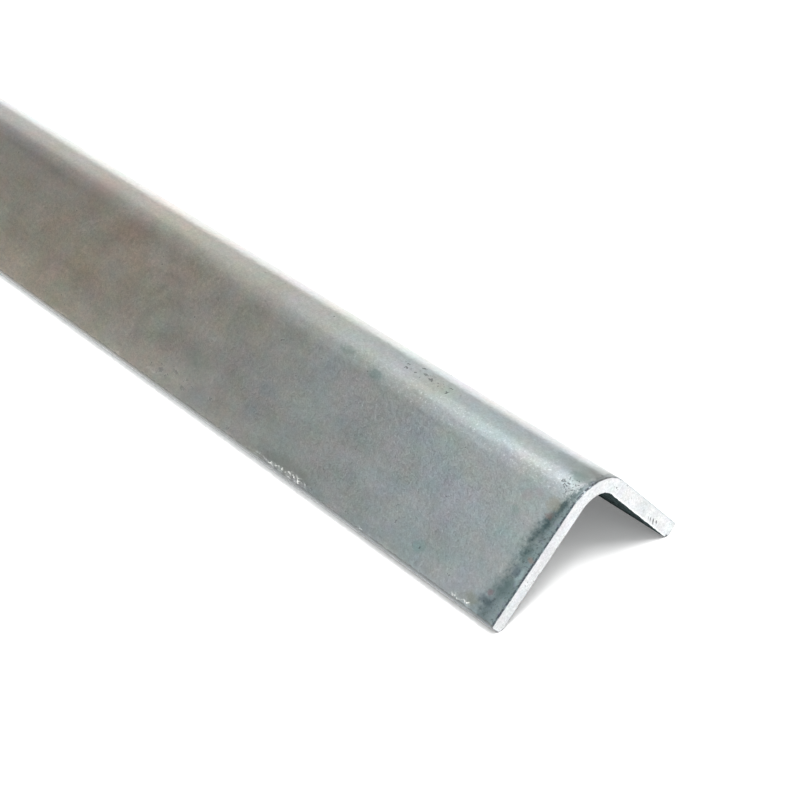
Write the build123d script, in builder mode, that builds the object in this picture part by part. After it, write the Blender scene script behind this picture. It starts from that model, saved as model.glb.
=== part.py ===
from build123d import *
import os
from math import sqrt

# Equal-leg angle section, cold formed in one piece from flat steel strip.
# Millimetres. +Z up, the bar runs along X. It lies as it rests unheld on a
# level floor: on both toes, with the bend on top. The origin is at the middle
# of the length, under the bend, on the floor.

# ---- driving dimensions ----------------------------------------------------
leg = 30.0           # leg width, from the sharp outer corner to the toe
wall = 3.0           # wall thickness of both legs
length = 1000.0      # stock length, both ends sawn square
outer_radius = 8.1   # outside of the cold bend
inner_radius = 4.5   # inside of the cold bend: a little under outer_radius
                     # less wall, because the wall thins where it is bent
toe_outer = 0.5      # easing of each toe's outer corner
toe_inner = 1.0      # rounding of each toe's inner corner, the side that
                     # the strip was slit from

# ---- derived ---------------------------------------------------------------
# The section is drawn square, with its sharp outer corner at (0, 0): one leg
# runs along +x of the sketch and the other along -y. The sketch plane stands
# at the bar's end, turned 45 degrees, so that the corner is on top and the
# two legs come down on the +Y and the -Y side.
# A toe's lowest point is on the rounding of its inner corner.
corner_height = (leg + wall - 2 * toe_inner) / sqrt(2) + toe_inner
bend_top = corner_height - outer_radius * (sqrt(2) - 1)

section_plane = Plane(
    origin=(-length / 2, 0, corner_height),
    x_dir=(0, sqrt(0.5), -sqrt(0.5)),
    z_dir=(1, 0, 0),
)

with BuildPart() as angle_section:
    with BuildSketch(section_plane) as section:
        with BuildLine() as outline:
            # outside: toe, bend, toe
            FilletPolyline(
                (leg, 0),
                (0, 0),
                (0, -leg),
                radius=outer_radius,
            )
            # the -Y leg's toe
            Line((0, -leg), (wall, -leg))
            # inside: toe, bend, toe
            FilletPolyline(
                (wall, -leg),
                (wall, -wall),
                (leg, -wall),
                radius=inner_radius,
            )
            # the +Y leg's toe
            Line((leg, -wall), (leg, 0))
        make_face()
        toes = section.vertices().filter_by(
            lambda v: v.X > leg - 0.001 or v.Y < 0.001 - leg
        )
        inner_corners = toes.filter_by(
            lambda v: v.X > wall - 0.001 and v.Y < 0.001 - wall
        )
        fillet(inner_corners, radius=toe_inner)
        outer_corners = section.vertices().filter_by(
            lambda v: (v.X > leg - 0.001 and v.Y > -0.001)
            or (v.Y < 0.001 - leg and v.X < 0.001)
        )
        fillet(outer_corners, radius=toe_outer)
    extrude(amount=length)

angle_section.part.label = "angle_section"

os.makedirs("parts", exist_ok=True)
export_step(angle_section.part, "parts/angle_section.step")

box = angle_section.part.bounding_box()
print("faces", len(angle_section.part.faces()))
print("box", box.min, box.max)
print("corner height", round(corner_height, 3), "bend top", round(bend_top, 3))
print("volume mm3", round(angle_section.part.volume, 1))
print("mass kg at 7850 kg/m3", round(angle_section.part.volume * 7.85e-6, 4))
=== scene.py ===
import math

import bpy
import numpy as np
from mathutils import Matrix, Vector, geometry, noise


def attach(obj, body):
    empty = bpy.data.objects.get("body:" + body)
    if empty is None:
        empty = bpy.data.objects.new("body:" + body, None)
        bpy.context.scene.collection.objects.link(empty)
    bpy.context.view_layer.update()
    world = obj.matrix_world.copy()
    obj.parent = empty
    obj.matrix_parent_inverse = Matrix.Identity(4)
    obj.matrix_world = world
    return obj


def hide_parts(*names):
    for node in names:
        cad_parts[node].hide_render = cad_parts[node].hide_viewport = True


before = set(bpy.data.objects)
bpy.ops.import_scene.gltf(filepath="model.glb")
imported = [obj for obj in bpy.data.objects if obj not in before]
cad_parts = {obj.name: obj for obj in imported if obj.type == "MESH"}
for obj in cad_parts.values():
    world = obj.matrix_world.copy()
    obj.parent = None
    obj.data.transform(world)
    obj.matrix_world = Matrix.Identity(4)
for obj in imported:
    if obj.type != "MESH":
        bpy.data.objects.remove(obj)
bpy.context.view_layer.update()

# ---------------------------------------------------------------------------
# Sizes of the section, in metres, as in the CAD model
# ---------------------------------------------------------------------------
MM = 0.001
LEG, WALL, LENGTH = 30.0 * MM, 3.0 * MM, 1000.0 * MM
R_OUT, R_IN = 8.1 * MM, 4.5 * MM
T_OUT, T_IN = 0.5 * MM, 1.0 * MM
S = math.sqrt(0.5)
CORNER_Z = (LEG + WALL - 2 * T_IN) * S + T_IN
HALF = LENGTH / 2


def to_yz(u, v):
    """Leg coordinates to the row's Y and Z: u runs down the +Y leg, v down the -Y leg."""
    return (u - v) * S, CORNER_Z - (u + v) * S


def arc(cu, cv, r, a0, a1, n):
    """Points on an arc in leg coordinates, without the first one."""
    out = []
    for k in range(1, n + 1):
        a = math.radians(a0 + (a1 - a0) * k / n)
        out.append((cu + r * math.cos(a), cv + r * math.sin(a)))
    return out


def line(p, q, ts):
    return [(p[0] + (q[0] - p[0]) * t, p[1] + (q[1] - p[1]) * t) for t in ts]


def steps(n):
    return [k / n for k in range(1, n + 1)]


def half_side():
    """Outside of the -Y leg from the middle of its toe up to the middle of the bend,
    and the inside the same way. Each point is (u, v)."""
    mid = ((T_OUT + WALL - T_IN) / 2, LEG)
    # fine near the toe, where the edge is worn
    near = [0.25, 0.5, 0.8, 1.2, 1.7, 2.3, 3.1, 4.0]
    outer = [mid]
    outer += line(mid, (T_OUT, LEG), steps(2))
    outer += arc(T_OUT, LEG - T_OUT, T_OUT, 90, 180, 5)
    top = LEG - T_OUT
    span = top - R_OUT
    outer += [(0.0, top - d * MM) for d in near]
    rest = span - near[-1] * MM
    outer += [(0.0, top - near[-1] * MM - rest * t) for t in steps(44)]
    outer += arc(R_OUT, R_OUT, R_OUT, 180, 225, 15)
    inner = [mid]
    inner += line(mid, (WALL - T_IN, LEG), steps(2))
    inner += arc(WALL - T_IN, LEG - T_IN, T_IN, 90, 0, 6)
    top = LEG - T_IN
    span = top - WALL - R_IN
    inner += [(WALL, top - d * MM) for d in (0.5, 1.1, 2.0, 3.2)]
    rest = span - 3.2 * MM
    inner += [(WALL, top - 3.2 * MM - rest * t) for t in steps(26)]
    inner += arc(WALL + R_IN, WALL + R_IN, R_IN, 180, 225, 9)
    return outer, inner


def outline():
    """The closed outline, anticlockwise seen from +X, as (u, v) pairs."""
    outer, inner = half_side()
    flip = [(v, u) for u, v in outer]
    out_path = outer + flip[-2::-1]              # -Y toe, over the bend, +Y toe
    flip_in = [(v, u) for u, v in inner]
    in_path = inner + flip_in[-2::-1]
    return out_path + in_path[-2:0:-1]


UV = np.array(outline())
Y, Z = to_yz(UV[:, 0], UV[:, 1])
RING = np.column_stack([Y, Z])


def ring_normals(ring):
    """Outward normals of a closed outline."""
    d = np.roll(ring, -1, axis=0) - np.roll(ring, 1, axis=0)
    n = np.column_stack([-d[:, 1], d[:, 0]])
    n /= np.linalg.norm(n, axis=1, keepdims=True)
    area = 0.5 * np.sum(ring[:, 0] * np.roll(ring[:, 1], -1) - np.roll(ring[:, 0], -1) * ring[:, 1])
    return n if area < 0 else -n


NORMAL = ring_normals(RING)

# ---------------------------------------------------------------------------
# Wear on the toe edges: (distance from the +X end, half length, depth, reach
# across the edge), in mm. The first ones are on the outer edge of the -Y toe.
# ---------------------------------------------------------------------------
NICKS = [
    (3.9, 0.45, 0.16, 0.9), (5.6, 0.5, 0.14, 0.8),
    (24.8, 0.5, 0.12, 0.6), (28.4, 0.4, 0.14, 0.7), (31.0, 0.35, 0.10, 0.5),
    (37.5, 0.3, 0.10, 0.5),
    (47.2, 0.5, 0.18, 0.9), (49.0, 0.6, 0.22, 1.1), (51.0, 0.6, 0.20, 1.0), (53.2, 0.5, 0.16, 0.8),
    (57.5, 1.4, 0.08, 0.5), (63.0, 1.6, 0.06, 0.4),
    (82.0, 0.5, 0.07, 0.4), (101.0, 0.8, 0.06, 0.4), (118.0, 0.5, 0.06, 0.4),
]


# Marks in the sawn +X face, in leg coordinates (u along the +Y leg, v along the
# -Y leg), mm: place, half length, half width, slant in degrees, strength.
STROKES = [
    (21.20, 2.15, 0.48, 0.10, 38, 0.6), (22.00, 2.12, 0.58, 0.14, 40, 0.85), (23.10, 2.08, 0.74, 0.17, 44, 1.0),
    (24.15, 1.88, 0.46, 0.18, 36, 1.0), (18.70, 1.75, 0.55, 0.30, 20, 0.2), (7.70, 1.58, 0.20, 0.15, 0, 0.9),
    (10.0, 0.28, 0.32, 0.13, 0, 0.5), (13.20, 1.40, 0.26, 0.10, 25, 0.45), (29.50, 2.62, 0.45, 0.26, 10, 1.0),
    (5.4, 2.35, 0.22, 0.10, 60, 0.35),
]


def gouge(u, v):
    """How deep the marks lie at a point of the +X face, 0 to 1."""
    deep = 0.0
    for cu, cv, half, width, slant, strength in STROKES:
        a = math.radians(slant)
        p = ((u - cu) * math.cos(a) + (v - cv) * math.sin(a)) / half
        q = ((v - cv) * math.cos(a) - (u - cu) * math.sin(a)) / width
        deep = max(deep, strength * max(0.0, 1.0 - math.hypot(p, q)))
    return deep


def ring_places():
    """Positions of the rings along X: dense at the ends and at the wear, wide between."""
    xs = set()
    x = HALF - 0.25 * MM
    for step, until in ((0.3, 1.6), (0.7, 6.0), (1.6, 60.0), (2.4, 145.0), (5.0, 190.0), (9.0, 950.0), (4.0, 990.0), (0.7, 998.4), (0.3, 999.75)):
        while x > HALF - until * MM:
            xs.add(round(x, 7))
            x -= step * MM
    for at, half, depth, reach in NICKS:
        for k in range(-4, 5):
            xs.add(round(HALF - (at + half * 1.5 * k / 4) * MM, 7))
    xs = sorted(xs, reverse=True)
    kept = [xs[0]]
    for x in xs[1:]:
        if kept[-1] - x > 0.09 * MM:
            kept.append(x)
    return [x for x in kept if abs(x) < HALF - 0.2 * MM]


def fbm(p, octaves=3):
    return noise.fractal(Vector(p), 0.9, 2.1, octaves, noise_basis="PERLIN_ORIGINAL")


def build_bar():
    n = len(RING)
    inward = -NORMAL
    u, v = UV[:, 0], UV[:, 1]
    verts, faces = [], []

    def relief(x):
        """How far each point of the ring at x lies inside the nominal outline."""
        d = np.zeros(n)
        for k in range(n):
            y, z = RING[k]
            # the slit edges of the toes are a little uneven
            along = max(u[k], v[k])
            edge = max(0.0, 1.0 - (LEG - along) / (1.6 * MM))
            if edge > 0:
                w = 0.5 + 0.5 * fbm((x * 900, y * 500, z * 500))
                d[k] += edge * edge * 0.055 * MM * max(0.0, w)
            # the crown of the bend is worn a little flat
            q = max(0.0, 1.0 - along / (20 * MM))
            d[k] += 0.024 * MM * q * q * (3 - 2 * q)
            # the strip is not perfectly flat
            w = 0.5 + 0.5 * noise.noise(Vector((x * 38, y * 60 + 4.0, z * 60)))
            d[k] += 0.022 * MM * w
        s = (HALF - x) / MM
        for at, half, depth, reach in NICKS:
            if abs(s - at) < half * 1.6:
                for k in range(n):
                    if v[k] > LEG - 5 * MM and u[k] < 1.2 * MM:
                        # distance over the surface from the outer corner of the toe
                        across = math.hypot(LEG - v[k], u[k]) / MM / reach
                        q = ((s - at) / half) ** 2 + across ** 2
                        w = noise.noise(Vector((s * 1.7, v[k] / MM * 2.0, 3.3)))
                        d[k] += depth * MM * math.exp(-1.6 * q) * (0.85 + 0.5 * w)
        return d

    xs = ring_places()
    # the saw leaves the rim of each cut a little ragged
    ease = []
    for k in range(n):
        y, z = RING[k]
        w = fbm((y * 1300, z * 1300, 7.7))
        chip = max(0.0, noise.noise(Vector((y * 2100, z * 2100, 1.9))) - 0.28)
        ease.append((0.11 + 0.07 * w + 0.42 * chip) * MM)
    ease = np.clip(ease, 0.04 * MM, 0.30 * MM)

    def add_ring(x_of, inset):
        first = len(verts)
        for k in range(n):
            y = RING[k][0] + inward[k][0] * inset[k]
            z = RING[k][1] + inward[k][1] * inset[k]
            verts.append((x_of[k], y, z))
        return first

    rings = []
    corner = (90.0, 60.0, 30.0, 0.0)
    base = relief(HALF)
    for a in corner:
        c = math.radians(a)
        x = HALF - ease * (1 - math.sin(c)) - 0.012 * MM
        rings.append(add_ring(x, base + ease * (1 - math.cos(c))))
    for x in xs:
        rings.append(add_ring(np.full(n, x), relief(x)))
    base = relief(-HALF)
    for a in reversed(corner):
        c = math.radians(a)
        x = -HALF + ease * (1 - math.sin(c)) + 0.012 * MM
        rings.append(add_ring(x, base + ease * (1 - math.cos(c))))
    for p, q in zip(rings, rings[1:]):
        for k in range(n):
            m = (k + 1) % n
            faces.append((p + k, p + m, q + m, q + k))
    side_faces = len(faces)

    # The sawn ends: a fine triangulation of the outline, with the saw's relief
    def cap(first, sign):
        border = [Vector((verts[first + k][1], verts[first + k][2])) for k in range(n)]
        rnd = np.random.default_rng(11 if sign > 0 else 12)
        pts = []
        pitch = 0.27 * MM
        lo_u = np.arange(0.3 * MM, LEG, pitch)
        for a in lo_u:
            for b in np.arange(0.3 * MM, LEG, pitch):
                uu = a + rnd.uniform(-0.3, 0.3) * pitch
                vv = b + rnd.uniform(-0.3, 0.3) * pitch
                if inside(uu, vv, 0.35 * MM) and not (sign > 0 and gouge(uu / MM, vv / MM) > 0):
                    pts.append(Vector(to_yz(uu, vv)))
        if sign > 0:
            # closer points where the face is marked
            for cu, cv, half, width, slant, strength in STROKES:
                for a in np.arange(-half, half, 0.07):
                    for b in np.arange(-half, half, 0.07):
                        uu, vv = cu + a + rnd.uniform(-0.015, 0.015), cv + b + rnd.uniform(-0.015, 0.015)
                        if gouge(uu, vv) > 0 and inside(uu * MM, vv * MM, 0.35 * MM):
                            pts.append(Vector(to_yz(uu * MM, vv * MM)))
        edges = [(k, (k + 1) % n) for k in range(n)]
        got, _, tris, origin, _, _ = geometry.delaunay_2d_cdt(border + pts, edges, [], 1, 1e-9)
        index = []
        for k, p in enumerate(got):
            src = [o for o in origin[k] if o < n]
            if src:
                index.append(first + src[0])
            else:
                saw = math.sin(p.y * 9500 + 1.3 * noise.noise(Vector((p.x * 300, p.y * 300, 1.0))))
                w = noise.noise(Vector((p.x * 1100, p.y * 1100, 5.0 * sign)))
                depth = 0.012 * MM + (0.008 * saw + 0.014 * w + 0.010) * MM
                depth = max(0.0, depth)
                if sign > 0:
                    uu, vv = (CORNER_Z - p.y + p.x) * S, (CORNER_Z - p.y - p.x) * S
                    depth += 0.16 * MM * gouge(uu / MM, vv / MM)
                index.append(len(verts))
                verts.append((sign * (HALF - depth), p.x, p.y))
        for t in tris:
            t = [index[i] for i in t]
            a, b, c = (Vector(verts[i]) for i in t)
            if ((b - a).cross(c - a)).x * sign < 0:
                t.reverse()
            faces.append(tuple(t))

    cap(rings[0], 1)
    cap(rings[-1], -1)
    mesh = bpy.data.meshes.new("angle_section_steel")
    mesh.from_pydata(verts, [], faces)
    mesh.update()
    return mesh, side_faces


def inside(u, v, gap):
    """Whether a point of the section is at least gap inside its outline."""
    if u < gap or v < gap or u > LEG - gap or v > LEG - gap:
        return False
    if u > WALL - gap and v > WALL - gap:
        # in the inner corner, the metal goes on to the inner bend
        c = WALL + R_IN
        if u < c and v < c:
            return math.hypot(u - c, v - c) > R_IN + gap
        return False
    c = R_OUT
    if u < c and v < c and math.hypot(u - c, v - c) > R_OUT - gap:
        return False
    for a, b in ((u, v), (v, u)):
        # roundings of the toes: a across the wall, b down the leg
        if b > LEG - T_OUT and a < T_OUT and math.hypot(a - T_OUT, b - LEG + T_OUT) > T_OUT - gap:
            return False
        if b > LEG - T_IN and a > WALL - T_IN and math.hypot(a - WALL + T_IN, b - LEG + T_IN) > T_IN - gap:
            return False
    return True


mesh, side_faces = build_bar()
bar = bpy.data.objects.new("angle_section_steel", mesh)
bpy.context.scene.collection.objects.link(bar)

# faces must look outwards
import bmesh

bm = bmesh.new()
bm.from_mesh(mesh)
bm.faces.ensure_lookup_table()
volume = bm.calc_volume(signed=True)
if volume < 0:
    bmesh.ops.reverse_faces(bm, faces=bm.faces)
bm.to_mesh(mesh)
bm.free()
print("triangles", sum(len(p.vertices) - 2 for p in mesh.polygons))
for poly in mesh.polygons:
    poly.use_smooth = True
    poly.material_index = 0 if poly.index < side_faces else 1


# ---------------------------------------------------------------------------
# Materials
# ---------------------------------------------------------------------------
class Tree:
    """Short calls for building a node tree. Lengths in the tree are in mm."""

    def __init__(self, name):
        self.mat = bpy.data.materials.new(name)
        self.mat.use_nodes = True
        self.nt = self.mat.node_tree
        self.nt.nodes.clear()
        self.out = self.nt.nodes.new("ShaderNodeOutputMaterial")
        self.bsdf = self.nt.nodes.new("ShaderNodeBsdfPrincipled")
        self.nt.links.new(self.bsdf.outputs[0], self.out.inputs[0])
        self.coord = self.nt.nodes.new("ShaderNodeTexCoord").outputs["Object"]

    def link(self, a, b):
        self.nt.links.new(a, b)

    def put(self, socket, value):
        if isinstance(value, bpy.types.NodeSocket):
            self.link(value, socket)
        else:
            socket.default_value = value

    def math(self, op, a, b=0.0, c=None, clamp=False):
        n = self.nt.nodes.new("ShaderNodeMath")
        n.operation, n.use_clamp = op, clamp
        self.put(n.inputs[0], a)
        self.put(n.inputs[1], b)
        if c is not None:
            self.put(n.inputs[2], c)
        return n.outputs[0]

    def add(self, a, b):
        return self.math("ADD", a, b)

    def mul(self, a, b):
        return self.math("MULTIPLY", a, b)

    def biggest(self, values):
        out = values[0]
        for v in values[1:]:
            out = self.math("MAXIMUM", out, v)
        return out

    def around(self, value, amount):
        """1 at a noise value of a half, and amount more or less at its ends."""
        return self.math("MULTIPLY_ADD", value, 2.0 * amount, 1.0 - amount)

    def vmath(self, op, a, b=None):
        n = self.nt.nodes.new("ShaderNodeVectorMath")
        n.operation = op
        self.put(n.inputs[0], a)
        if b is not None:
            self.put(n.inputs[1], b)
        return n.outputs["Value"] if op in ("LENGTH", "DOT_PRODUCT") else n.outputs[0]

    def join(self, x, y, z=0.0):
        n = self.nt.nodes.new("ShaderNodeCombineXYZ")
        for k, value in enumerate((x, y, z)):
            self.put(n.inputs[k], value)
        return n.outputs[0]

    def split(self, vector):
        n = self.nt.nodes.new("ShaderNodeSeparateXYZ")
        self.link(vector, n.inputs[0])
        return n.outputs

    def noise(self, vector, scale, detail=2.0, rough=0.5, distortion=0.0, shift=(0, 0, 0), out="Fac"):
        """scale is a number, or one for each axis, in waves per mm."""
        if not isinstance(scale, tuple):
            scale = (scale, scale, scale)
        m = self.nt.nodes.new("ShaderNodeMapping")
        m.vector_type = "POINT"
        self.link(vector, m.inputs["Vector"])
        m.inputs["Scale"].default_value = scale
        m.inputs["Location"].default_value = shift
        n = self.nt.nodes.new("ShaderNodeTexNoise")
        self.link(m.outputs[0], n.inputs["Vector"])
        n.inputs["Scale"].default_value = 1.0
        n.inputs["Detail"].default_value = detail
        n.inputs["Roughness"].default_value = rough
        n.inputs["Distortion"].default_value = distortion
        return n.outputs[out]

    def dots(self, vector, scale, size, chance):
        """Round dots in a share of the cells of a Voronoi pattern, of uneven size."""
        n = self.nt.nodes.new("ShaderNodeTexVoronoi")
        n.voronoi_dimensions = "2D"
        self.link(vector, n.inputs["Vector"])
        n.inputs["Scale"].default_value = scale
        r, g, b = self.split(n.outputs["Color"])
        radius = self.math("MULTIPLY_ADD", g, size * scale, 0.45 * size * scale)
        shape = self.span(self.math("DIVIDE", n.outputs["Distance"], radius), 0.7, 1.1, 1.0, 0.0)
        return self.mul(shape, self.math("LESS_THAN", r, chance))

    def span(self, value, a, b, c=0.0, d=1.0, smooth=True):
        n = self.nt.nodes.new("ShaderNodeMapRange")
        n.interpolation_type = "SMOOTHSTEP" if smooth else "LINEAR"
        self.put(n.inputs["Value"], value)
        for name, x in (("From Min", a), ("From Max", b), ("To Min", c), ("To Max", d)):
            self.put(n.inputs[name], x)
        return n.outputs["Result"]

    def spot(self, vector, at, reach, soft=0.35):
        """1 inside an ellipse on the skin, 0 outside it."""
        if not isinstance(reach, tuple):
            reach = (reach, reach)
        q = self.vmath("SUBTRACT", vector, (at[0], at[1], 0.0))
        q = self.vmath("MULTIPLY", q, (1 / reach[0], 1 / reach[1], 1.0))
        return self.span(self.vmath("LENGTH", q), 1 - soft, 1 + soft, 1.0, 0.0)

    def ramp(self, value, stops, how="EASE"):
        n = self.nt.nodes.new("ShaderNodeValToRGB")
        n.color_ramp.interpolation = how
        self.link(value, n.inputs[0])
        e = n.color_ramp.elements
        while len(e) > 1:
            e.remove(e[-1])
        for k, (at, colour) in enumerate(stops):
            if not isinstance(colour, tuple):
                colour = (colour, colour, colour)
            if k == 0:
                e[0].position, e[0].color = at, (*colour, 1.0)
            else:
                e.new(at).color = (*colour, 1.0)
        return n.outputs[0]

    def mix(self, fac, a, b, how="MIX"):
        n = self.nt.nodes.new("ShaderNodeMix")
        n.data_type, n.blend_type = "RGBA", how
        self.put(n.inputs[0], fac)
        for socket, value in ((n.inputs[6], a), (n.inputs[7], b)):
            if isinstance(value, tuple):
                value = (*value, 1.0)
            self.put(socket, value)
        return n.outputs[2]

    def tinge(self, colour, noise_colour, amount):
        """Multiply a colour by a noise's own colours, held near one."""
        n = self.vmath("MULTIPLY_ADD", noise_colour, tuple(2 * a for a in amount))
        n.node.inputs[2].default_value = tuple(1.0 - a for a in amount)
        return self.vmath("MULTIPLY", colour, n)

    def grey(self, value):
        return self.join(value, value, value)

    def coord_x(self):
        return self.split(self.coord)[0]

    def bump(self, height, strength, distance, normal=None):
        n = self.nt.nodes.new("ShaderNodeBump")
        n.inputs["Strength"].default_value = strength
        n.inputs["Distance"].default_value = distance
        self.link(height, n.inputs["Height"])
        if normal is not None:
            self.link(normal, n.inputs["Normal"])
        return n.outputs[0]

    def skin(self):
        """Places on the bar in mm: distance from the +X end, from the nearer end,
        distance over the outside (0 where the -Y leg meets the bend, 22 at its toe,
        -35 at the other toe), and depth below the outside."""
        x, y, z = self.split(self.coord)
        r = R_OUT / MM
        self.from_plus = self.math("MULTIPLY_ADD", x, -1000.0, HALF / MM)
        self.from_end = self.math("MULTIPLY_ADD", self.math("ABSOLUTE", x), -1000.0, HALF / MM)
        drop = self.math("MULTIPLY_ADD", z, -1000.0 * S, CORNER_Z / MM * S)
        side = self.mul(y, 1000.0 * S)
        self.u = self.add(drop, side)
        self.v = self.math("SUBTRACT", drop, side)
        a = self.math("MAXIMUM", self.math("SUBTRACT", r, self.v), 0.0)
        b = self.math("MAXIMUM", self.math("SUBTRACT", r, self.u), 0.0)
        turn = self.math("ARCTAN2", a, b)
        over = self.math("MAXIMUM", self.math("SUBTRACT", self.v, r), 0.0)
        over = self.math("SUBTRACT", over, self.mul(turn, r))
        over = self.math("SUBTRACT", over, self.math("MAXIMUM", self.math("SUBTRACT", self.u, r), 0.0))
        self.over = over
        away = self.math("SQRT", self.math("MULTIPLY_ADD", a, a, self.mul(b, b)))
        self.depth = self.math("SUBTRACT", r, away)
        self.inner = self.span(self.depth, 1.3, 1.9)
        self.place = self.join(self.from_plus, self.over, self.depth)


# Marks on the outside of the -Y leg and the bend: distance from the +X end,
# distance over the surface, and reach, in mm.
PITS = [
    (20.2, 9.1, 0.24), (25.6, 17.2, 0.18), (19.0, 18.2, 0.22), (67.0, 2.5, 0.30), (73.3, 18.0, (0.42, 0.32)),
    (66.2, 20.4, 0.30), (83.8, 17.8, (0.75, 0.40)), (87.2, 18.9, (0.70, 0.42)), (80.2, 19.5, (0.8, 0.34)),
    (87.4, 7.7, 0.20), (42.5, -5.1, 0.34), (36.9, -5.5, (0.5, 0.26)), (38.6, -5.9, (0.45, 0.26)),
    (43.5, 20.9, 0.22), (34.5, 20.3, (0.5, 0.2)), (32.8, -5.1, 0.24), (40.3, -7.2, (0.5, 0.25)),
]
SCUFFS = [
    (47.9, 20.70, (2.7, 0.36), 1.0), (52.6, 20.90, (3.4, 0.22), 0.75), (6.5, 20.8, (0.9, 0.32), 1.0),
    (8.6, 20.95, (0.9, 0.26), 0.9), (30.3, 21.2, (0.9, 0.16), 0.5), (88.9, 20.2, (2.2, 0.5), 0.2),
    (57.2, 20.9, (0.9, 0.22), 0.5), (99.0, 21.0, (1.6, 0.25), 0.25), (118.0, 21.0, (2.5, 0.25), 0.25),
]


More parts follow.
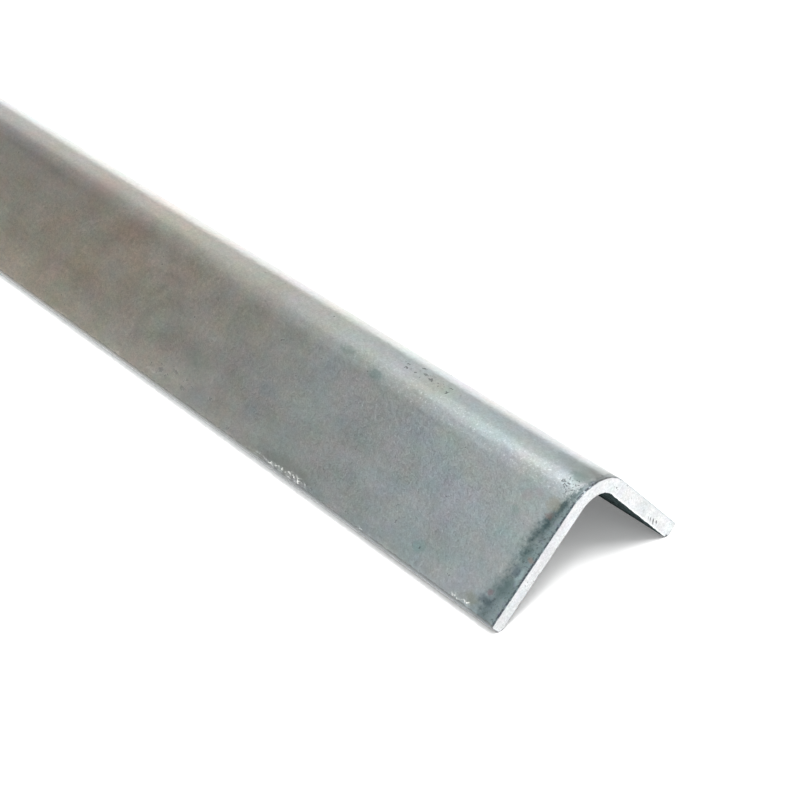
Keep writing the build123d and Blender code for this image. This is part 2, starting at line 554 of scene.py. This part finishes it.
def mill_steel():
    t = Tree("mill_steel")
    t.skin()
    place = t.place

    # a flat map of the outside, with its lines shaken for ragged marks
    flat = t.join(t.from_plus, t.over, t.mul(t.inner, 100.0))
    shake = t.noise(place, 0.9, 2.0, 0.6, out="Color")
    shaken = t.vmath("ADD", flat, t.vmath("MULTIPLY", t.vmath("SUBTRACT", shake, (0.5, 0.5, 0.5)), (1.6, 1.6, 0.0)))

    # noises, from wide to fine
    drift = t.noise(place, (0.012, 0.03, 0.03), 2.0, 0.5, shift=(3, 1, 2))
    clouds = t.noise(place, (0.060, 0.10, 0.10), 3.0, 0.55, 0.3)
    patch = t.noise(place, (0.13, 0.17, 0.17), 3.0, 0.6, 0.4, shift=(5, 2, 8))
    mottle = t.noise(place, 0.42, 3.0, 0.62, 0.2, shift=(1, 9, 4))
    speckle = t.noise(place, 1.25, 2.0, 0.65, shift=(7, 7, 1))
    grain = t.noise(place, 3.3, 2.0, 0.7, shift=(2, 5, 5))
    streak = t.noise(place, (0.07, 1.3, 1.3), 2.0, 0.5, shift=(5, 5, 5))
    hue_wide = t.noise(place, (0.10, 0.14, 0.14), 2.0, 0.5, shift=(11, 3, 6), out="Color")
    hue_middle = t.noise(place, (0.20, 0.28, 0.28), 1.0, 0.5, shift=(9, 1, 16), out="Color")
    hue_fine = t.noise(place, 0.50, 2.0, 0.6, shift=(4, 13, 6), out="Color")

    # tint along the bar: blue-grey, neutral and warm zones
    along = t.math("MULTIPLY_ADD", t.from_plus, 0.001, t.math("MULTIPLY_ADD", drift, 0.05, -0.025))
    tint = t.ramp(along, [
        (0.000, (0.539, 0.605, 0.613)),
        (0.020, (0.539, 0.600, 0.608)),
        (0.045, (0.556, 0.600, 0.591)),
        (0.065, (0.583, 0.594, 0.553)),
        (0.090, (0.614, 0.594, 0.526)),
        (0.120, (0.649, 0.589, 0.488)),
        (0.150, (0.632, 0.594, 0.522)),
        (0.240, (0.572, 0.594, 0.572)),
        (0.340, (0.550, 0.594, 0.594)),
        (0.460, (0.600, 0.594, 0.550)),
        (0.580, (0.556, 0.594, 0.583)),
        (0.700, (0.550, 0.600, 0.600)),
        (0.820, (0.611, 0.594, 0.539)),
        (0.930, (0.561, 0.594, 0.578)),
        (1.000, (0.533, 0.600, 0.605)),
    ], "LINEAR")

    tone = t.around(clouds, 0.06)
    tone = t.mul(tone, t.around(patch, 0.05))
    tone = t.mul(tone, t.around(mottle, 0.07))
    tone = t.mul(tone, t.around(speckle, 0.22))
    tone = t.mul(tone, t.around(grain, 0.28))
    tone = t.mul(tone, t.around(streak, 0.05))
    # rubbed paler towards the toes, away from the cuts
    rubbed = t.mul(t.span(t.math("MAXIMUM", t.u, t.v), 21.0, 28.5), t.span(t.from_end, 45.0, 95.0))
    tone = t.mul(tone, t.math("MULTIPLY_ADD", rubbed, 0.20, 1.0))
    colour = t.vmath("MULTIPLY", tint, t.grey(tone))
    # the bend stays cooler than the leg along the warm part
    far_bend = t.mul(t.span(t.from_plus, 70.0, 115.0), t.span(t.over, -3.0, 1.5, 1.0, 0.0))
    colour = t.vmath("MULTIPLY", colour, t.mix(far_bend, (1.0, 1.0, 1.0), (0.99, 1.025, 1.095)))
    # and the far side of the bend is neutral
    far_side = t.mul(t.span(t.over, -10.0, -6.5, 1.0, 0.0), t.span(t.over, -16.0, -13.0))
    bare_grey = t.vmath("DOT_PRODUCT", colour, (0.333, 0.333, 0.333))
    colour = t.mix(t.mul(far_side, 0.7), colour, t.grey(bare_grey))
    colour = t.tinge(colour, hue_wide, (0.15, 0.05, 0.10))
    colour = t.tinge(colour, hue_middle, (0.08, 0.03, 0.065))
    colour = t.tinge(colour, hue_fine, (0.09, 0.03, 0.045))

    # the cut ends: a ragged dark band, a paler speckled strip and a dark rim, which is painted shade of the eased
    # edge
    reach = t.ramp(t.span(t.over, -36.0, 22.0, smooth=False), [
        (0.00, 0.55), (0.22, 0.50), (0.36, 0.34), (0.43, 0.16), (0.52, 0.16), (0.58, 0.24),
        (0.64, 0.40), (0.72, 0.60), (0.80, 0.62), (0.87, 0.56), (0.92, 0.68), (0.97, 0.80), (1.00, 0.80),
    ], "LINEAR")
    reach = t.mul(reach, t.math("MULTIPLY_ADD", patch, 2.4, 4.6))
    jag = t.math("MULTIPLY_ADD", mottle, 1.6, -0.8)
    jag = t.add(jag, t.math("MULTIPLY_ADD", speckle, 1.6, -0.8))
    from_cut = t.math("DIVIDE", t.add(t.from_end, jag), reach)
    band = t.span(from_cut, 0.55, 1.45, 1.0, 0.0)
    core = t.mul(t.span(from_cut, 0.15, 0.60), t.span(from_cut, 0.65, 1.20, 1.0, 0.0))
    core = t.mul(core, t.span(t.noise(place, 0.30, 3.0, 0.65, shift=(8, 2, 2)), 0.30, 0.62))
    core = t.mul(core, t.span(t.over, 9.0, 16.0, 1.0, 0.5))
    strip = t.span(from_cut, 0.15, 0.60, 1.0, 0.0)
    shade = t.span(t.over, -7.0, 1.0, 0.45, 1.0)
    colour = t.mix(t.mul(t.mul(band, shade), 0.60), colour, (0.175, 0.262, 0.268))
    colour = t.mix(t.mul(t.mul(core, shade), 0.80), colour, (0.050, 0.100, 0.108))
    flecks = t.span(t.noise(place, 1.5, 3.0, 0.7, shift=(9, 9, 3)), 0.48, 0.66)
    colour = t.mix(t.mul(t.mul(strip, flecks), 0.55), colour, (0.36, 0.50, 0.54))
    dark_flecks = t.span(t.noise(place, 1.8, 3.0, 0.7, shift=(2, 19, 7)), 0.52, 0.66)
    colour = t.mix(t.mul(t.mul(band, dark_flecks), 0.50), colour, (0.060, 0.085, 0.095))
    lilac = t.span(t.noise(place, 0.8, 2.0, 0.6, shift=(3, 19, 3)), 0.56, 0.68)
    colour = t.mix(t.mul(t.mul(strip, lilac), 0.45), colour, (0.33, 0.32, 0.48))
    # painted shade: a dark line along the eased rim of each cut, broken up and faint on the far side of the bend
    rim_shade = t.span(t.add(t.from_end, t.math("MULTIPLY_ADD", grain, 0.5, -0.25)), 0.20, 0.45, 1.0, 0.0)
    rim_shade = t.mul(rim_shade, t.span(speckle, 0.36, 0.54, 0.35, 1.0))
    rim_shade = t.mul(rim_shade, t.span(t.over, -13.0, -8.5, 0.1, 1.0))
    colour = t.mix(t.mul(rim_shade, 0.8), colour, (0.045, 0.045, 0.065))

    # coloured patches near the cut, and dark patches below the bend
    for at, size, hue, much in (
        ((2.7, 2.9), (0.7, 0.6), (0.30, 0.17, 0.14), 0.40),
        ((3.0, 1.1), (1.3, 1.0), (0.42, 0.39, 0.28), 0.40),
        ((1.0, 10.0), (0.6, 0.45), (0.42, 0.26, 0.20), 0.40),
        ((1.9, 12.6), (0.8, 0.9), (0.10, 0.14, 0.19), 0.45),
        ((0.9, 12.9), (0.45, 1.2), (0.50, 0.66, 0.68), 0.55),
        ((3.6, 19.0), (1.4, 0.6), (0.045, 0.075, 0.095), 0.45),
        ((2.0, 15.6), (2.2, 1.5), (0.12, 0.20, 0.20), 0.35),
        ((3.7, 17.4), (0.5, 0.4), (0.28, 0.14, 0.17), 0.45),
        ((5.9, 19.9), (1.3, 0.8), (0.33, 0.36, 0.27), 0.45),
        ((7.9, 2.2), (1.1, 0.8), (0.58, 0.46, 0.50), 0.30),
        ((6.4, 0.8), (0.9, 0.6), (0.58, 0.47, 0.50), 0.25),
        ((8.4, 5.1), (0.9, 0.7), (0.24, 0.42, 0.38), 0.35),
        ((2.6, -4.9), (1.6, 1.1), (0.21, 0.29, 0.26), 0.50),
        ((1.4, -8.4), (2.6, 2.2), (0.27, 0.26, 0.25), 0.50),
        ((4.5, -7.0), (4.5, 1.6), (0.34, 0.35, 0.33), 0.40),
        ((19.2, 18.0), (1.2, 1.0), (0.20, 0.44, 0.40), 0.35),
        ((45.8, -0.9), (1.5, 0.9), (0.18, 0.32, 0.30), 0.45),
        ((54.0, -2.0), (1.8, 0.8), (0.22, 0.35, 0.32), 0.35),
        ((63.5, 11.0), (2.2, 1.4), (0.36, 0.46, 0.50), 0.30),
        ((113.0, -0.2), (3.2, 1.6), (0.50, 0.34, 0.32), 0.30),
        ((127.0, -3.5), (4.0, 2.6), (0.60, 0.46, 0.43), 0.30),
        ((81.0, 13.6), (3.4, 1.4), (0.34, 0.45, 0.38), 0.30),
        ((50.0, 20.0), (5.5, 1.1), (0.32, 0.36, 0.28), 0.35),
    ):
        m = t.spot(shaken, at, size, 0.5)
        colour = t.mix(t.mul(m, much), colour, hue)

    # dark dots and pits
    crowd = t.biggest([
        t.mul(t.spot(shaken, (2.9, -2.8), (1.3, 1.5)), 0.75),
        t.mul(t.spot(shaken, (37.5, -5.7), (7.0, 1.1)), 0.16),
        t.mul(t.spot(shaken, (84.0, 18.8), (5.0, 1.4)), 0.12),
        t.mul(t.span(patch, 0.60, 0.74), 0.012),
    ])
    pits = [t.dots(shaken, 2.4, 0.15, t.add(crowd, 0.0008))]
    pits += [t.spot(shaken, (d, o), r, 0.1) for d, o, r in PITS]
    pit = t.biggest(pits)
    pit = t.mul(pit, t.span(speckle, 0.25, 0.5, 0.45, 1.0))
    colour = t.mix(t.mul(pit, 0.72), colour, (0.045, 0.050, 0.052))

    # painted glints: near-white flecks painted into the colour where the bend's highlight falls, stronger towards
    # the +X end
    painted_glints = t.span(t.noise(place, 2.1, 2.0, 0.7, shift=(12, 2, 9)), 0.56, 0.68)
    painted_glints = t.mul(painted_glints, t.mul(t.span(t.over, -5.5, -3.5), t.span(t.over, -0.8, 0.6, 1.0, 0.0)))
    painted_glints = t.mul(painted_glints, t.span(t.from_plus, 30.0, 60.0, 0.55, 0.15))
    colour = t.mix(painted_glints, colour, (0.93, 0.97, 0.98))

    # bare bright scuffs along the toe of the -Y leg, in slanting strokes
    zig = t.math("SINE", t.math("MULTIPLY_ADD", t.from_plus, 6.4, t.mul(t.over, 6.5)))
    zag = t.math("SINE", t.math("MULTIPLY_ADD", t.from_plus, 5.3, t.mul(t.over, -7.5)))
    strokes = t.add(t.math("MAXIMUM", zig, zag), t.math("MULTIPLY_ADD", speckle, 4.0, -2.0))
    strokes = t.span(strokes, 0.72, 1.10)
    scuff = t.biggest([t.mul(t.spot(shaken, (d, o), r, 0.45), a) for d, o, r, a in SCUFFS])
    scuff = t.mul(scuff, t.math("MULTIPLY_ADD", strokes, 0.90, 0.06))
    worn = t.mul(t.span(t.v, 28.7, 29.2), t.span(t.noise(place, 0.5, 3.0, 0.7, shift=(6, 1, 1)), 0.58, 0.70))
    worn = t.mul(worn, t.mul(t.span(t.depth, 0.3, 0.5, 1.0, 0.0), 0.15))
    scuff = t.math("MAXIMUM", scuff, worn)
    colour = t.mix(scuff, colour, (0.80, 0.81, 0.77))

    # the slit edges: a thin dark line, painted shade where the toe's rounding turns from the face, then bare metal
    # on the rounding
    edge = t.add(t.math("MAXIMUM", t.u, t.v), t.math("MULTIPLY_ADD", speckle, 0.5, -0.25))
    slit_shade = t.span(edge, 29.33, 29.50)
    bare = t.span(t.math("MAXIMUM", t.u, t.v), 29.90, 29.97)
    # painted shade on the start of the toe's rounding
    colour = t.mix(t.mul(slit_shade, 0.80), colour, (0.215, 0.222, 0.222))
    colour = t.mix(t.mul(bare, 0.90), colour, t.mix(t.span(grain, 0.3, 0.7), (0.82, 0.83, 0.83), (0.96, 0.96, 0.96)))

    # inside: painted shade under the angle, the faces darker all along and black-green near the ends
    colour = t.vmath("MULTIPLY", colour, t.mix(t.inner, (1.0, 1.0, 1.0), (0.42, 0.48, 0.48)))
    # painted shadow inside, near each end: black-green and patchy, also duller and rougher
    inside_shade = t.add(t.from_end, t.math("MULTIPLY_ADD", clouds, 24.0, -12.0))
    inside_shade = t.mul(t.inner, t.span(inside_shade, 22.0, 48.0, 1.0, 0.0))
    inside_shade_colour = t.mix(t.span(speckle, 0.40, 0.66), (0.012, 0.020, 0.021), (0.085, 0.115, 0.115))
    colour = t.mix(t.mul(inside_shade, 0.94), colour, inside_shade_colour)
    colour = t.vmath("MULTIPLY", colour, (0.89, 0.89, 0.89))

    t.link(colour, t.bsdf.inputs["Base Color"])
    dull = t.biggest([t.mul(scuff, 0.75), t.mul(pit, 0.5), t.mul(bare, 0.35), inside_shade])
    t.link(t.math("SUBTRACT", 1.0, dull), t.bsdf.inputs["Metallic"])
    t.bsdf.inputs["Specular IOR Level"].default_value = 0.0
    rough = t.math("MULTIPLY_ADD", grain, 0.12, 0.29)
    rough = t.add(rough, t.math("MULTIPLY_ADD", patch, 0.10, -0.05))
    rough = t.add(rough, t.mul(t.biggest([t.mul(band, 0.6), slit_shade, t.inner, t.mul(scuff, 0.8)]), 0.14))
    rough = t.add(rough, t.mul(inside_shade, 0.35))
    t.link(rough, t.bsdf.inputs["Roughness"])

    height = t.math("SUBTRACT", grain, t.mul(pit, 0.4))
    fine = t.bump(height, 1.0, 0.000016)
    height = t.math("SUBTRACT", speckle, t.mul(scuff, t.mul(strokes, 0.8)))
    middle = t.bump(height, 1.0, 0.000024, fine)
    wide = t.bump(mottle, 1.0, 0.000026, middle)
    t.link(t.bump(clouds, 1.0, 0.00006, wide), t.bsdf.inputs["Normal"])
    return t.mat


def cut_steel():
    t = Tree("cut_steel")
    t.skin()
    flat = t.join(t.u, t.v, t.mul(t.coord_x(), 40.0))
    # the blade went straight down through the bar
    swept = t.join(t.math("SUBTRACT", t.u, t.v), t.add(t.u, t.v), t.mul(t.coord_x(), 40.0))
    saw = t.noise(swept, (0.35, 2.2, 1.0), 3.0, 0.6)
    grain = t.noise(flat, 2.4, 3.0, 0.7, shift=(4, 4, 4))
    blotch = t.noise(flat, 0.42, 2.0, 0.5, shift=(8, 8, 8))
    hue = t.noise(flat, 0.40, 2.0, 0.5, shift=(1, 8, 3), out="Color")
    tone = t.around(saw, 0.14)
    tone = t.mul(tone, t.around(grain, 0.48))
    tone = t.mul(tone, t.around(blotch, 0.20))
    colour = t.vmath("MULTIPLY", (0.592, 0.606, 0.614), t.grey(tone))
    colour = t.tinge(colour, hue, (0.08, 0.04, 0.05))
    # greyer towards the outside, where the cut is smeared, with a bright burr inside
    smear = t.mul(t.span(t.depth, 0.10, 0.55, 1.0, 0.0), t.span(grain, 0.35, 0.65, 0.2, 1.0))
    colour = t.mix(t.mul(smear, 0.30), colour, (0.36, 0.38, 0.40))
    # the last of the cut tore: grey patches on the inner side of the -Y leg's toe
    torn = t.mul(t.span(t.v, 18.5, 24.0), t.mul(t.span(t.depth, 1.4, 2.3), t.span(blotch, 0.42, 0.56)))
    colour = t.mix(t.mul(torn, t.span(grain, 0.30, 0.60, 0.42, 0.14)), colour, (0.36, 0.38, 0.40))
    burr = t.mul(t.span(t.depth, 2.50, 2.80), t.span(t.u, 4.0, 8.0))
    colour = t.mix(t.mul(burr, 0.55), colour, (0.86, 0.88, 0.89))
    plus = t.span(t.coord_x(), -0.1, 0.1)
    marks = []
    for u, v, half, width, slant, strength in STROKES:
        a = math.radians(slant)
        q = t.vmath("SUBTRACT", t.join(t.u, t.v), (u, v, 0.0))
        along = t.vmath("DOT_PRODUCT", q, (math.cos(a) / half, math.sin(a) / half, 0.0))
        across = t.vmath("DOT_PRODUCT", q, (-math.sin(a) / width, math.cos(a) / width, 0.0))
        marks.append(t.span(t.vmath("LENGTH", t.join(along, across)), 0.5, 1.15, strength, 0.0))
    mark = t.mul(t.biggest(marks), plus)
    specks = t.dots(t.join(t.u, t.v), 1.6, 0.11, t.mul(t.span(blotch, 0.52, 0.66), 0.16))
    mark = t.math("MAXIMUM", mark, t.mul(specks, 0.55))
    mark = t.mul(mark, t.span(grain, 0.25, 0.5, 0.6, 1.0))
    colour = t.mix(t.mul(mark, 0.88), colour, (0.035, 0.037, 0.045))
    t.link(colour, t.bsdf.inputs["Base Color"])
    t.bsdf.inputs["Metallic"].default_value = 0.85
    t.link(t.math("MULTIPLY_ADD", saw, 0.16, 0.37), t.bsdf.inputs["Roughness"])
    height = t.add(t.mul(saw, 0.8), t.mul(grain, 0.6))
    height = t.math("SUBTRACT", height, mark)
    t.link(t.bump(height, 0.8, 0.00003), t.bsdf.inputs["Normal"])
    return t.mat


mesh.materials.append(mill_steel())
mesh.materials.append(cut_steel())

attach(bar, "root")
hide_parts("angle_section")

# ---------------------------------------------------------------------------
# Floor, light and camera
# ---------------------------------------------------------------------------
scene = bpy.context.scene
scene.view_settings.view_transform = "Standard"
scene.view_settings.look = "None"

floor_mesh = bpy.data.meshes.new("floor")
floor_mesh.from_pydata([(-30, -30, 0), (30, -30, 0), (30, 30, 0), (-30, 30, 0)], [], [(0, 1, 2, 3)])
floor = bpy.data.objects.new("floor", floor_mesh)
scene.collection.objects.link(floor)
fm = bpy.data.materials.new("white_floor")
fm.use_nodes = True
fb = fm.node_tree.nodes["Principled BSDF"]
fb.inputs["Base Color"].default_value = (0.86, 0.86, 0.86, 1)
fb.inputs["Roughness"].default_value = 0.9
fb.inputs["Specular IOR Level"].default_value = 0.1
# the floor is a light table, faint under the bar and stronger beyond the panels
place = fm.node_tree.nodes.new("ShaderNodeNewGeometry")
away = fm.node_tree.nodes.new("ShaderNodeVectorMath")
away.operation = "DISTANCE"
away.inputs[1].default_value = (0.2, 0, 0)
glow = fm.node_tree.nodes.new("ShaderNodeMapRange")
glow.interpolation_type = "SMOOTHSTEP"
glow.inputs["From Min"].default_value = 0.9
glow.inputs["From Max"].default_value = 2.2
glow.inputs["To Min"].default_value = 0.185
fm.node_tree.links.new(place.outputs["Position"], away.inputs[0])
fm.node_tree.links.new(away.outputs["Value"], glow.inputs["Value"])
fm.node_tree.links.new(glow.outputs["Result"], fb.inputs["Emission Strength"])
fb.inputs["Emission Color"].default_value = (1, 1, 1, 1)
floor_mesh.materials.append(fm)

world = bpy.data.worlds.new("studio")
scene.world = world
world.use_nodes = True
bg = world.node_tree.nodes["Background"]
bg.inputs["Color"].default_value = (1.0, 1.0, 1.0, 1)
bg.inputs["Strength"].default_value = 0.081

# A tent of soft panels two metres from the bar. Each row: elevation, height and
# width in degrees, then azimuth (0 along +X, 90 along +Y) and brightness.
TENT = [
    (90, 34, 34, [(0, 0.70)]),
    (64, 20, 22.5, [(45, 0.34), (67.5, 1.02), (90, 0.35), (157.5, 1.87), (180, 2.15), (202.5, 1.77),
        (270, 0.97)]),
    (48, 14, 22.5, [(0, 0.95), (67.5, 0.76), (90, 1.36), (135, 0.85), (157.5, 0.39), (202.5, 0.20),
        (225, 1.39), (247.5, 1.17), (270, 1.18), (292.5, 1.05), (315, 2.40), (337.5, 0.53)]),
    (34, 14, 22.5, [(0, 0.88), (22.5, 0.76), (67.5, 0.12), (90, 1.13), (112.5, 1.01), (135, 0.80),
        (157.5, 0.72), (180, 0.27), (247.5, 0.61), (270, 0.98), (292.5, 0.71), (337.5, 1.62)]),
    (20, 14, 22.5, [(0, 1.65), (22.5, 1.44), (45, 1.02), (90, 0.64), (112.5, 0.17), (135, 0.28),
        (157.5, 0.76), (202.5, 0.16), (225, 0.07), (247.5, 1.03), (270, 0.28), (292.5, 0.95), (315, 0.94)]),
    (7, 12, 22.5, [(22.5, 0.17), (45, 1.36), (67.5, 0.07), (90, 0.73), (112.5, 2.05), (135, 2.40),
        (157.5, 0.81), (180, 1.14), (202.5, 1.02), (225, 1.73), (247.5, 1.25), (270, 2.28), (292.5, 1.27),
        (315, 1.29), (337.5, 1.83)]),
    (80, 11, 11, [(345, 59.90)]),
    (72, 11, 11, [(0, 13.44), (15, 59.54), (330, 28.63), (345, 3.09)]),
    (66, 11, 11, [(322.5, 50.50)]),
    (62, 11, 11, [(337.5, 10.70), (352.5, 21.69)]),
]
TENT_CENTRE = Vector((0.44, 0.0, 0.01))
TENT_RADIUS = 2.0


def panel(azimuth, elevation, width, height, brightness):
    a, e = math.radians(azimuth), math.radians(elevation)
    d = Vector((math.cos(a) * math.cos(e), math.sin(a) * math.cos(e), math.sin(e)))
    lamp = bpy.data.lights.new("panel_%d_%d" % (elevation, azimuth), "AREA")
    lamp.shape = "RECTANGLE"
    lamp.size = 2 * TENT_RADIUS * math.tan(math.radians(width / 2)) * (math.cos(e) if elevation < 90 else 1)
    lamp.size_y = 2 * TENT_RADIUS * math.tan(math.radians(height / 2))
    lamp.energy = brightness * math.pi * lamp.size * lamp.size_y
    ob = bpy.data.objects.new(lamp.name, lamp)
    ob.location = TENT_CENTRE + d * TENT_RADIUS
    ob.rotation_euler = (-d).to_track_quat("-Z", "Y").to_euler()
    ob.visible_camera = False
    scene.collection.objects.link(ob)


for elevation, height, width, row in TENT:
    for azimuth, brightness in row:
        panel(azimuth, elevation, width, height, brightness)

cam_data = bpy.data.cameras.new("camera")
cam_data.sensor_fit = "HORIZONTAL"
cam_data.sensor_width = 36.0
cam_data.lens = 81.603
cam_data.clip_start, cam_data.clip_end = 0.01, 50.0
cam = bpy.data.objects.new("camera", cam_data)
scene.collection.objects.link(cam)
cam.matrix_world = Matrix((
    (0.66734532, -0.42912598, 0.60868803, 0.64164522),
    (0.74327762, 0.33242617, -0.58054391, -0.17781612),
    (0.04678264, 0.83984745, 0.54080278, 0.17694051),
    (0, 0, 0, 1),
))
scene.camera = cam
